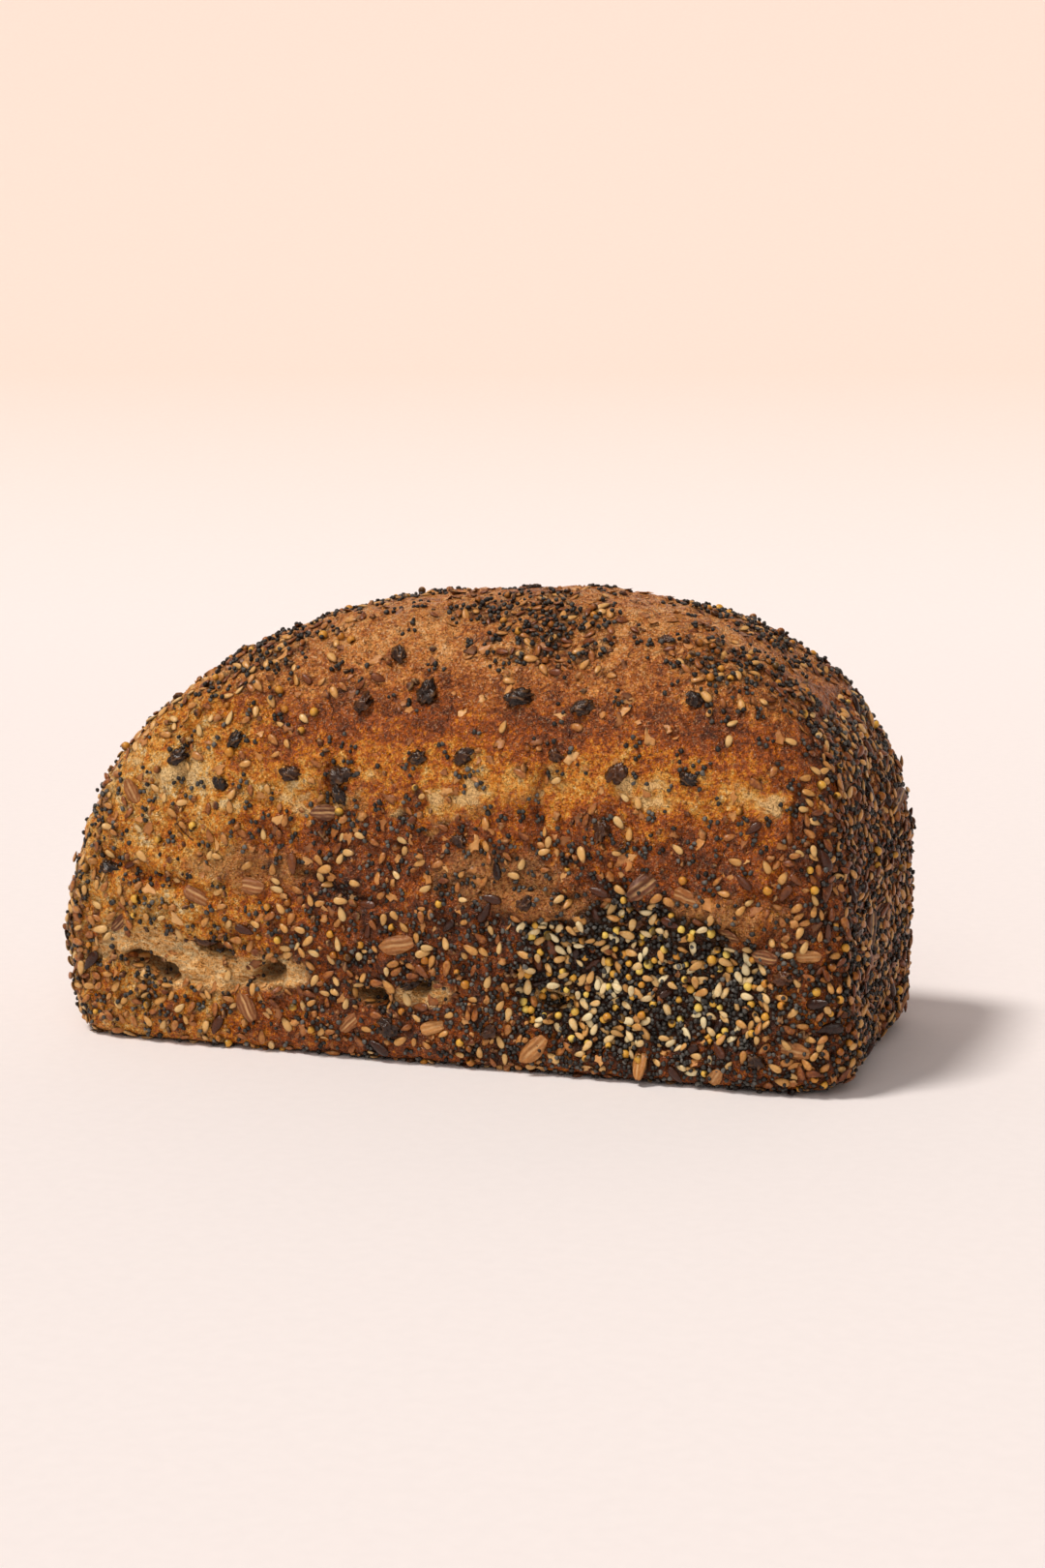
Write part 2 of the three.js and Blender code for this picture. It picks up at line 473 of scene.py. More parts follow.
# A kind of seed: the function of its form, half its length, width and thickness in millimetres, how finely
# its mesh is divided, how many forms it has, how much its size varies, how deep it sits in the crust (as a
# share of its thickness) and how far it tips.
Kind = namedtuple("Kind", "form half mesh forms varies sunk tips")
KINDS = {
    "poppy": Kind(poppy_form, (0.57, 0.49, 0.44), (8, 3), 6, 0.14, 0.24, 0.6),
    "sesame": Kind(sesame_form, (1.36, 0.75, 0.44), (10, 6), 8, 0.13, 0.26, 0.30),
    "millet": Kind(millet_form, (0.88, 0.85, 0.83), (12, 7), 8, 0.13, 0.26, 1.0),
    "linseed": Kind(linseed_form, (2.10, 1.02, 0.50), (14, 8), 6, 0.12, 0.22, 0.25),
    "flake": Kind(flake_form, (3.50, 1.90, 0.60), (48, 17), 7, 0.16, 0.20, 0.12),
    "bran": Kind(bran_form, (1.25, 0.80, 0.07), (12, 4), 24, 0.35, 0.0, 0.35),
    "clump": Kind(clump_form, (2.00, 1.45, 0.90), (28, 17), 9, 0.22, 0.36, 0.3),
    "crumb": Kind(crumb_form, (0.70, 0.58, 0.45), (9, 5), 16, 0.35, 0.35, 0.8),
}
# The larger pieces lie in loose rows along the front, as (kind, how many, each end of the row in shares
# for front(), length in millimetres).
ROWS = [
    ("clump", 9, (-0.65, 0.65), (0.6, 0.65), 4.2),  # along the break above the tin's rim
    ("clump", 5, (-0.2, 0.8), (0.6, 0.85), 4.6),  # and higher, where the crown begins
    ("flake", 6, (-0.45, 0.1), (0.7, 0.05), 6.8),  # along the foot of the wall
    ("flake", 4, (0.6, 0.4), (0.95, 0.3), 6.8),  # round the steep end's corner
    ("flake", 3, (-0.85, 0.25), (-0.4, 0.4), 6.0),  # and towards the gentle end
]
ROW_STRAYS = (0.05, 0.04)  # how far a piece strays from its row, in the same shares


def in_rows(kind):
    """The pieces of a kind that lie in rows: their points, their lengths and their tilts."""
    points, lengths, tilts = [], [], []
    for name, count, start, end, length in ROWS:
        if name == kind:
            shares = np.linspace(start, end, count) + RANDOM.uniform(-1, 1, (count, 2)) * ROW_STRAYS
            points.extend(front(along, up) for along, up in shares)
            lengths.extend(length * RANDOM.uniform(0.8, 1.2, count))
            tilts.extend(RANDOM.uniform(-80, 80, count))
    return np.array(points), lengths, tilts


def forms_of(kind):
    """The kind's forms in millimetres, each with its marks, and the mesh that they share."""
    facts = KINDS[kind]
    along, turn, faces, layout = shell(*facts.mesh)
    shapes = [facts.form(along, turn, RANDOM) for _ in range(facts.forms)]
    points = np.array([shape * facts.half for shape, _ in shapes])
    marks = np.array([mark for _, mark in shapes])
    return points, marks, faces, layout


# ---------------------------------------------------------------- where the seeds lie


class Room:
    """What is already taken on the crust, as discs, so that seeds lie beside each other."""

    def __init__(self, cell=2.0):
        self.cell = cell
        self.discs = {}

    def is_free(self, point, radius):
        home = [int(c // self.cell) for c in point]
        for step in itertools.product((-1, 0, 1), repeat=3):
            cell = tuple(place + way for place, way in zip(home, step))
            for x, y, z, other in self.discs.get(cell, ()):
                gap = radius + other
                if (point[0] - x) ** 2 + (point[1] - y) ** 2 + (point[2] - z) ** 2 < gap * gap:
                    return False
        return True

    def take(self, point, radius):
        home = tuple(int(c // self.cell) for c in point)
        self.discs.setdefault(home, []).append((*point, radius))


def random_places(points, faces, normals, fields, wanted):
    """Places spread evenly over the crust: wanted to the square millimetre."""
    triangles = np.concatenate((faces[:, (0, 1, 2)], faces[:, (0, 2, 3)]))
    a, b, c = (points[triangles[:, i]] for i in range(3))
    areas = np.linalg.norm(np.cross(b - a, c - a), axis=1) / 2
    totals = np.cumsum(areas)
    count = int(totals[-1] * wanted)
    chosen = np.searchsorted(totals, RANDOM.random(count) * totals[-1])
    shares = RANDOM.dirichlet((1, 1, 1), count)
    corner = triangles[chosen]

    def at(values):
        return np.einsum("ni...,ni->n...", values[corner], shares)

    outward = at(normals)
    outward /= np.linalg.norm(outward, axis=1)[:, None]
    return at(points), outward, {name: at(values) for name, values in fields.items()}


def turned(outward, tips, tilts=None):
    """For each seed, the directions of its length, width and thickness. tilts, in degrees, fixes how its
    length lies on the wall; without them it lies at random."""
    count = len(outward)
    upright = np.abs(outward[:, 2:]) > 0.9
    up = np.where(upright, (0.0, 1.0, 0.0), (0.0, 0.0, 1.0))
    level = np.cross(up, outward)
    level /= np.linalg.norm(level, axis=1)[:, None]
    rising = np.cross(outward, level)
    angle = RANDOM.uniform(0, math.tau, count) if tilts is None else np.radians(tilts)
    length = level * np.cos(angle)[:, None] + rising * np.sin(angle)[:, None]
    length = length + outward * RANDOM.normal(0, tips, count)[:, None] * 0.6
    length /= np.linalg.norm(length, axis=1)[:, None]
    lean = outward + RANDOM.normal(0, tips, (count, 3)) * 0.6
    width = np.cross(lean, length)
    width /= np.linalg.norm(width, axis=1)[:, None]
    return np.stack((length, width, np.cross(length, width)), 2)


def settle(kind, spots, outward, room, crush=1.0, lift=0.0, sizes=None, tilts=None, always=False):
    """The seeds of a kind that find room at the spots, in order: where each is, how it is turned and its
    size. crush under 1 lets seeds crowd into each other; lift raises a second layer over the first."""
    facts = KINDS[kind]
    length, width, thickness = facts.half
    varied = np.clip(RANDOM.normal(1, facts.varies, len(spots)), 0.6, 1.5)
    size = varied if sizes is None else np.array(sizes) / (2 * length)
    axes = turned(outward, facts.tips if sizes is None else 0.05, tilts)
    reach = length - width
    is_long = reach > 0.2 * width
    steps = np.linspace(-reach, reach, 1 + 2 * math.ceil(1.2 * reach / width)) if is_long else [0.0]
    kept = []
    for i, spot in enumerate(spots):
        discs = [tuple(spot + axes[i, :, 0] * step * size[i]) for step in steps]
        radius = width * size[i] * crush
        if always or all(room.is_free(disc, radius) for disc in discs):
            kept.append(i)
            for disc in discs:
                room.take(disc, radius)
    rise = thickness * (1 - 2 * facts.sunk)
    centres = spots[kept] + outward[kept] * (rise * size[kept] + lift)[:, None]
    return centres, axes[kept], size[kept]


def gathered(spots, surface, share, pull):
    """The spots drawn together into small groups, and the surface's direction at each. One in every few,
    a share of them, is the middle of a group, and the others are pulled towards the nearest middle."""
    middles = KDTree(len(spots))
    for i, spot in enumerate(spots[: int(share * len(spots))]):
        middles.insert(Vector(spot), i)
    middles.balance()
    nearest = np.array([tuple(middles.find(Vector(spot))[0]) for spot in spots])
    drawn = nearest + (spots - nearest) * (1 - pull)
    found = [surface.find_nearest(Vector(spot))[:2] for spot in drawn]
    return np.array([tuple(spot) for spot, _ in found]), np.array([tuple(way) for _, way in found])


def joined(a, b):
    """Two lots of settled seeds as one."""
    return tuple(np.concatenate(pair) for pair in zip(a, b))


def seed_fields(points, places, clumps):
    """How strongly each thing that decides where seeds lie is there, at each point of the crust."""
    x, y, z = points.T
    steep_end = soft_step(x, 74, 90) * soft_step(z, 92, 70)
    gentle_end = soft_step(x, -66, -86) * soft_step(z, 84, 60)
    corners = soft_step(np.abs(y), 34, 43) * soft_step(x, 78, 88) * soft_step(z, 80, 60)
    lower_wall = soft_step(z, 44, 16)
    wall = soft_step(z, 68, 50)
    shoulder = soft_step(x, -14, -50) * soft_step(z, 60, 74)
    over_table = np.maximum(soft_step(z, 0.8, 3.4), 0.5 * places["on_base"])
    drifts = soft_step(lumps(points, 13, 5.5) + 0.5 * lumps(points, 5, 8.8), -0.15, 0.45)
    knots = soft_step(lumps(points, 6.5, 12.5) + 0.4 * lumps(points, 2.5, 3.8), 0.10, 0.50)
    grouped = 0.35 + 1.3 * soft_step(lumps(points, 3.2, 14.2), -0.1, 0.35)
    bare = 1 - 0.97 * places["torn"]
    bare *= 1 - 0.75 * places["pitted"] * soft_step(lumps(points, 5, 9.9), -0.5, 0.1)
    bare *= 1 - 0.6 * places["ledges"]
    packed = np.maximum(places["drift"], 0.08 * steep_end)
    packed = np.maximum(packed, 0.55 * lower_wall * soft_step(x, -10, 40) * (y < 0))
    from_clump = np.min(np.linalg.norm(points[:, None] - clumps, axis=2), axis=1)
    return {
        "packed": packed * bare,
        "torn_rim": 4 * places["torn"] * (1 - places["torn"]),
        "by_clump": soft_step(from_clump, 6.0, 1.5) * knots,
        "middle": soft_step(x, -40, -15) * soft_step(x, 66, 40) * soft_step(z, 60, 48),
        "drift": places["drift"],
        "clusters": places["clusters"],
        "ends": np.maximum(np.maximum(steep_end, 0.22 * gentle_end), 0.8 * corners),
        "lower": lower_wall * bare,
        "wall": wall * bare,
        "shoulder": shoulder,
        "drifts": drifts,
        "knots": knots,
        "bare": bare,
        "crown": soft_step(z, 70, 86),
        "base": places["on_base"],
        "folds": places["folds"],
        "over_table": over_table,
        "grouped": grouped,
    }


def scatter_seeds(points, faces, normals, places):
    """Every seed of the loaf, by kind: those in rows first, then the larger ones, then the poppy seeds
    between them. Densities are in seeds to the square millimetre."""
    room = Room()
    upper_room = Room()
    surface = BVHTree.FromPolygons([tuple(p) for p in points], [tuple(f) for f in faces.tolist()])
    rows = {kind: in_rows(kind) for kind in ("flake", "clump")}
    fields = seed_fields(points, places, rows["clump"][0])

    def spots_for(wanted, density):
        spots, outward, f = random_places(points, faces, normals, fields, wanted)
        keep = RANDOM.random(len(spots)) < density(f) * f["over_table"] / wanted
        return spots[keep], outward[keep]

    settled = {}
    for kind, (near, sizes, tilts) in rows.items():
        found = [surface.find_nearest(Vector(at))[:2] for at in near]
        spots = np.array([tuple(spot) for spot, _ in found])
        outward = np.array([tuple(normal) for _, normal in found])
        settled[kind] = settle(kind, spots, outward, room, sizes=sizes, tilts=tilts, always=True)

    def more(kind, wanted, density, **how):
        spots, outward = spots_for(wanted, density)
        if "grouped" in how:
            spots, outward = gathered(spots, surface, *how.pop("grouped"))
        lot = settle(kind, spots, outward, how.pop("room", room), **how)
        settled[kind] = joined(settled[kind], lot) if kind in settled else lot

    more("flake", 0.01, lambda f: 0.0002 * f["wall"] + 0.0012 * f["ends"])
    more("clump", 0.01, lambda f: 0.0006 * f["wall"] + 0.0001 + 0.0010 * f["clusters"])
    more("linseed", 0.03, lambda f: 0.0026 * f["wall"] + 0.004 * f["ends"] + 0.006 * f["drift"])
    more(
        "millet",
        0.12,
        lambda f: 0.0010
        + 0.0035 * f["wall"]
        + 0.006 * f["lower"]
        + 0.012 * f["ends"]
        + 0.038 * f["drift"]
        + 0.022 * f["clusters"]
        + 0.003 * f["shoulder"],
        crush=0.92,
    )
    more(
        "sesame",
        0.6,
        lambda f: 0.0035
        + 0.030 * f["wall"]
        + 0.085 * f["lower"]
        + 0.260 * f["ends"]
        + 0.130 * f["drift"]
        + 0.170 * f["clusters"]
        + 0.085 * f["shoulder"]
        + 0.03 * f["base"],
        crush=0.84,
    )
    more(
        "crumb",
        0.3,
        lambda f: 0.006
        + 0.036 * f["wall"]
        + 0.060 * f["lower"]
        + 0.16 * f["torn_rim"]
        + 0.060 * f["ends"]
        + 0.050 * f["clusters"]
        + 0.030 * f["shoulder"],
        crush=0.6,
    )
    more(
        "bran",
        0.2,
        lambda f: 0.010
        + 0.018 * f["wall"]
        + 0.010 * f["crown"]
        + 0.030 * f["ends"]
        + 0.030 * f["shoulder"]
        + 0.030 * f["clusters"],
        crush=0.5,
    )
    more(
        "poppy",
        3.2,
        lambda f: 0.010 * f["bare"]
        + 0.42 * f["knots"] * f["bare"] * (1 - 0.3 * f["crown"])
        + 0.60 * f["wall"] * f["drifts"]
        + 2.5 * f["middle"] * f["bare"] * (0.15 + 0.85 * f["drifts"])
        + 1.00 * f["lower"] * (0.3 + 0.7 * f["drifts"])
        + 1.10 * f["clusters"] * (0.25 + 1.6 * f["knots"])
        + 1.7 * f["by_clump"]
        + 0.85 * f["shoulder"] * f["knots"]
        + 0.6 * f["folds"] * f["bare"]
        + 0.25 * f["base"],
        crush=0.86,
        grouped=(0.16, 0.60),
    )
    more("poppy", 3.2, lambda f: 0.26 * f["ends"] * f["grouped"] + 2.0 * f["packed"], crush=0.84)
    # A second layer, where loose seeds piled up.
    more("sesame", 0.2, lambda f: 0.075 * f["drift"] + 0.035 * f["ends"], room=upper_room, lift=0.8)
    more("millet", 0.1, lambda f: 0.024 * f["drift"] + 0.004 * f["clusters"], room=upper_room, lift=0.7)
    more(
        "poppy",
        0.8,
        lambda f: 0.25 * f["drift"] + 0.06 * f["ends"] + 0.18 * f["clusters"] + 0.14 * f["packed"],
        room=upper_room,
        crush=0.9,
        lift=0.55,
    )
    return settled


# ---------------------------------------------------------------- Blender objects


def add_piece(name, points, faces, layout, values, material):
    """A mesh object of the loaf, smooth, with its values on its points and its layout for the bake."""
    mesh = bpy.data.meshes.new(name)
    corners = faces.shape[1]
    mesh.vertices.add(len(points))
    mesh.vertices.foreach_set("co", (points * MM).astype(np.float32).ravel())
    mesh.loops.add(faces.size)
    mesh.loops.foreach_set("vertex_index", faces.astype(np.int32).ravel())
    mesh.polygons.add(len(faces))
    mesh.polygons.foreach_set("loop_start", np.arange(0, faces.size, corners, dtype=np.int32))
    mesh.update(calc_edges=True)
    mesh.validate()
    mesh.shade_smooth()
    mesh.uv_layers.new(name="OFBake").uv.foreach_set("vector", layout.astype(np.float32).ravel())
    for value_name, value in values.items():
        attribute = mesh.attributes.new(value_name, "FLOAT", "POINT")
        attribute.data.foreach_set("value", value.astype(np.float32))
    mesh.materials.append(material)
    piece = bpy.data.objects.new(name, mesh)
    bpy.context.scene.collection.objects.link(piece)
    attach(piece, "root")
    return piece


def add_seeds(name, kind, seeds, tones, material):
    """All the given seeds of a kind as one piece. Each has its own tone and its own cell of the layout."""
    forms, marks, faces, layout = forms_of(kind)
    centres, axes, sizes = seeds
    count = len(centres)
    chosen = RANDOM.integers(0, len(forms), count)
    # The lower side of each seed, where it sits in the crust, which the coat paints dark as painted shade.
    foot = soft_step(forms[chosen][:, :, 2] / KINDS[kind].half[2], 0.7, -0.4)
    points = np.einsum("nij,nvj->nvi", axes, forms[chosen] * sizes[:, None, None]) + centres[:, None]
    points[:, :, 2] = np.maximum(points[:, :, 2], 0.0)
    per_seed = forms.shape[1]
    all_faces = faces[None] + np.arange(count)[:, None, None] * per_seed
    across = math.ceil(math.sqrt(count))
    cell = np.stack((np.arange(count) % across, np.arange(count) // across), 1)
    spread = (0.08 + 0.84 * layout[None] + cell[:, None, None]) / across
    values = {"tone": np.repeat(tones, per_seed), "mark": marks[chosen].ravel(), "foot": foot.ravel()}
    return add_piece(
        name, points.reshape(-1, 3), all_faces.reshape(-1, 3), spread.reshape(-1, 2), values, material
    )


# ---------------------------------------------------------------- materials


def linear(hex_colour):
    """An sRGB hex colour as linear RGBA."""
    parts = [int(hex_colour[i : i + 2], 16) / 255 for i in (1, 3, 5)]
    return (*(c / 12.92 if c <= 0.04045 else ((c + 0.055) / 1.055) ** 2.4 for c in parts), 1.0)


def add(tree, kind, inputs=None, stops=None, **settings):
    """Adds a node with its settings. Each input is a value or the output it is linked to."""
    made = tree.nodes.new(kind)
    for name, value in settings.items():
        setattr(made, name, value)
    for name, value in (inputs or {}).items():
        if isinstance(value, bpy.types.NodeSocket):
            tree.links.new(value, made.inputs[name])
        else:
            made.inputs[name].default_value = value
    if stops:
        ramp = made.color_ramp
        while len(ramp.elements) < len(stops):
            ramp.elements.new(1.0)
        for element, (place, colour) in zip(ramp.elements, stops):
            element.position = place
            element.color = linear(colour)
    return made


def new_material(name):
    """An empty node material with its shader, and the coordinates that its patterns use."""
    material = bpy.data.materials.new(name)
    material.use_nodes = True
    tree = material.node_tree
    shader = tree.nodes["Principled BSDF"]
    place = add(tree, "ShaderNodeTexCoord").outputs["Object"]
    return material, tree, shader, place


def browned_dough(tree, toast, crown, patterns):
    """The colour of the crust by how far it baked, made uneven by its mottle, grain and drifts, with painted
    shade in the seams between its blisters.
    """
    mottle, grain, cloud, seams = patterns
    shift = add(
        tree,
        "ShaderNodeMapRange",
        {"Value": mottle, "From Min": 0.3, "From Max": 0.7, "To Min": -0.17, "To Max": 0.17},
    ).outputs["Result"]
    speckle = add(
        tree,
        "ShaderNodeMapRange",
        {"Value": grain, "From Min": 0.3, "From Max": 0.7, "To Min": 0.10, "To Max": -0.10},
    ).outputs["Result"]
    drift = add(
        tree,
        "ShaderNodeMapRange",
        {"Value": cloud, "From Min": 0.3, "From Max": 0.7, "To Min": -0.07, "To Max": 0.07},
    ).outputs["Result"]
    # Painted shade: the seams between the blisters are painted darker.
    between = add(
        tree,
        "ShaderNodeMapRange",
        {"Value": seams, "From Min": 0.2, "From Max": 0.75, "To Min": -0.07, "To Max": 0.11},
    ).outputs["Result"]
    baked = toast
    for change in (shift, speckle, drift, between):
        baked = add(tree, "ShaderNodeMath", {0: baked, 1: change}, operation="ADD").outputs["Value"]
    colour = add(
        tree,
        "ShaderNodeValToRGB",
        {"Fac": baked},
        stops=[
            (0.02, "#f0d6a2"),
            (0.20, "#e6ac50"),
            (0.36, "#d68012"),
            (0.52, "#aa5106"),
            (0.68, "#803c0a"),
            (0.84, "#54260a"),
            (1.00, "#1c0a04"),
        ],
    ).outputs["Color"]
    # On the crown the sugars went further, to red-brown.
    red = add(
        tree,
        "ShaderNodeValToRGB",
        {"Fac": baked},
        stops=[(0.22, "#f4be80"), (0.44, "#da9248"), (0.60, "#ba6a28"), (0.80, "#723610"), (1.00, "#2c1006")],
    ).outputs["Color"]
    colour = add(
        tree, "ShaderNodeMix", {"Factor": crown, "A": colour, "B": red}, data_type="RGBA"
    ).outputs["Result"]
    return colour


def pinholes_and_glints(tree, place, bent, crown, colour):
    """The colour with the skin's pinholes on it and its glints painted pale as painted highlights, and the
    patterns of the two.
    """
    # Pinholes, where gas came through the skin, in a coarser peel on the crown.
    peel = add(
        tree,
        "ShaderNodeTexNoise",
        {"Vector": place, "Scale": 1 / (0.9 * MM), "Detail": 2.0, "Roughness": 0.7},
    ).outputs["Fac"]
    pit = add(
        tree,
        "ShaderNodeMapRange",
        {"Value": peel, "From Min": 0.46, "From Max": 0.34, "To Min": 0.0, "To Max": 0.6},
    ).outputs["Result"]
    colour = add(
        tree, "ShaderNodeMix", {"Factor": pit, "A": colour, "B": linear("#5a2c0c")}, data_type="RGBA"
    ).outputs["Result"]
    # Glints: scales of dried skin, 0.6 mm across, stand proud and shine with fat, most of all on the crown.
    # Their pale colour is a painted highlight.
    scales = add(
        tree, "ShaderNodeTexNoise", {"Vector": bent, "Scale": 1 / (0.6 * MM), "Detail": 1.0}
    ).outputs["Fac"]
    glint = add(
        tree,
        "ShaderNodeMapRange",
        {"Value": scales, "From Min": 0.58, "From Max": 0.68, "To Min": 0.0, "To Max": 1.0},
    ).outputs["Result"]
    most = add(
        tree,
        "ShaderNodeMapRange",
        {"Value": crown, "From Min": 0.0, "From Max": 1.0, "To Min": 0.2, "To Max": 0.6},
    ).outputs["Result"]
    painted_glint_share = add(tree, "ShaderNodeMath", {0: glint, 1: most}, operation="MULTIPLY").outputs["Value"]
    colour = add(
        tree,
        "ShaderNodeMix",
        {"Factor": painted_glint_share, "A": colour, "B": linear("#f0c494")},
        data_type="RGBA",
    ).outputs["Result"]
    return colour, peel, glint


def pale_wisps(tree, bent, thin, colour):
    """The colour with its stretched, torn skin, and where the wisps are."""
    # Where the dough sprang up last, its skin tore into pale wisps, 5 mm long and half as high.
    stretched = add(
        tree, "ShaderNodeMapping", {"Vector": bent, "Scale": (1.8, 1, 0.9)}, vector_type="TEXTURE"
    ).outputs["Vector"]
    ragged = add(
        tree,
        "ShaderNodeTexNoise",
        {"Vector": stretched, "Scale": 1 / (5 * MM), "Detail": 5.0, "Roughness": 0.62},
    ).outputs["Fac"]
    open_at = add(
        tree,
        "ShaderNodeMapRange",
        {"Value": thin, "From Min": 0.0, "From Max": 1.0, "To Min": 0.75, "To Max": 0.42},
    ).outputs["Result"]
    over = add(tree, "ShaderNodeMath", {0: ragged, 1: open_at}, operation="SUBTRACT").outputs["Value"]
    stretch = add(
        tree,
        "ShaderNodeMapRange",
        {"Value": over, "From Min": -0.04, "From Max": 0.12, "To Min": 0.0, "To Max": 0.6},
    ).outputs["Result"]
    wisp = add(
        tree,
        "ShaderNodeMapRange",
        {"Value": over, "From Min": 0.07, "From Max": 0.13, "To Min": 0.0, "To Max": 0.5},
    ).outputs["Result"]
    for share, tone in ((stretch, "#dfa856"), (wisp, "#f0d096")):
        colour = add(
            tree, "ShaderNodeMix", {"Factor": share, "A": colour, "B": linear(tone)}, data_type="RGBA"
        ).outputs["Result"]
    return colour, wisp


def open_crumb(tree, bent):
    """The pores of the bread, its relief and its colour."""
    # Open crumb: pores in pale brown bread, drawn out into fibres where the crust tore away.
    grown = add(
        tree,
        "ShaderNodeMapping",
        {"Vector": bent, "Rotation": (0, math.radians(13), 0), "Scale": (3.5, 1, 0.8)},
        vector_type="TEXTURE",
    ).outputs["Vector"]
    fibres = add(
        tree,
        "ShaderNodeTexNoise",
        {"Vector": grown, "Scale": 1 / (1.1 * MM), "Detail": 4.0, "Roughness": 0.6},
    ).outputs["Fac"]
    pores = add(tree, "ShaderNodeTexVoronoi", {"Vector": bent, "Scale": 1 / (0.8 * MM)}).outputs["Distance"]
    strands = add(
        tree,
        "ShaderNodeMapRange",
        {"Value": fibres, "From Min": 0.3, "From Max": 0.7, "To Min": -0.2, "To Max": 0.6},
    ).outputs["Result"]
    open_bread = add(
        tree, "ShaderNodeMath", {0: pores, 1: 0.5, 2: strands}, operation="MULTIPLY_ADD"
    ).outputs["Value"]
    crumb = add(
        tree,
        "ShaderNodeValToRGB",
        {"Fac": open_bread},
        stops=[(0.02, "#84501c"), (0.14, "#e69e4e"), (0.36, "#fcc074"), (0.90, "#ffe4ae")],
    ).outputs["Color"]
    return pores, open_bread, crumb


def hairline_cracks(tree, place, cloud):
    """Where the crust cracked as it cooled."""
    # Hairline cracks: the edges of cells 26 mm across, only here and there.
    long_wander = add(tree, "ShaderNodeTexNoise", {"Vector": place, "Scale": 1 / (9 * MM), "Detail": 5.0})
    long_sway = add(
        tree, "ShaderNodeVectorMath", {0: long_wander.outputs["Color"], "Scale": 4 * MM}, operation="SCALE"
    ).outputs["Vector"]
    long_bent = add(
        tree,
        "ShaderNodeVectorMath",
        {0: place, 1: long_sway},
        operation="ADD",
    ).outputs["Vector"]
    cells = add(
        tree,
        "ShaderNodeTexVoronoi",
        {"Vector": long_bent, "Scale": 1 / (26 * MM)},
        feature="DISTANCE_TO_EDGE",
    ).outputs["Distance"]
    line = add(
        tree,
        "ShaderNodeMapRange",
        {"Value": cells, "From Min": 0.003, "From Max": 0.009, "To Min": 0.8, "To Max": 0.0},
    ).outputs["Result"]
    here = add(
        tree,
        "ShaderNodeMapRange",
        {"Value": cloud, "From Min": 0.54, "From Max": 0.62, "To Min": 0.0, "To Max": 1.0},
    ).outputs["Result"]
    crack = add(tree, "ShaderNodeMath", {0: line, 1: here}, operation="MULTIPLY").outputs["Value"]
    return crack


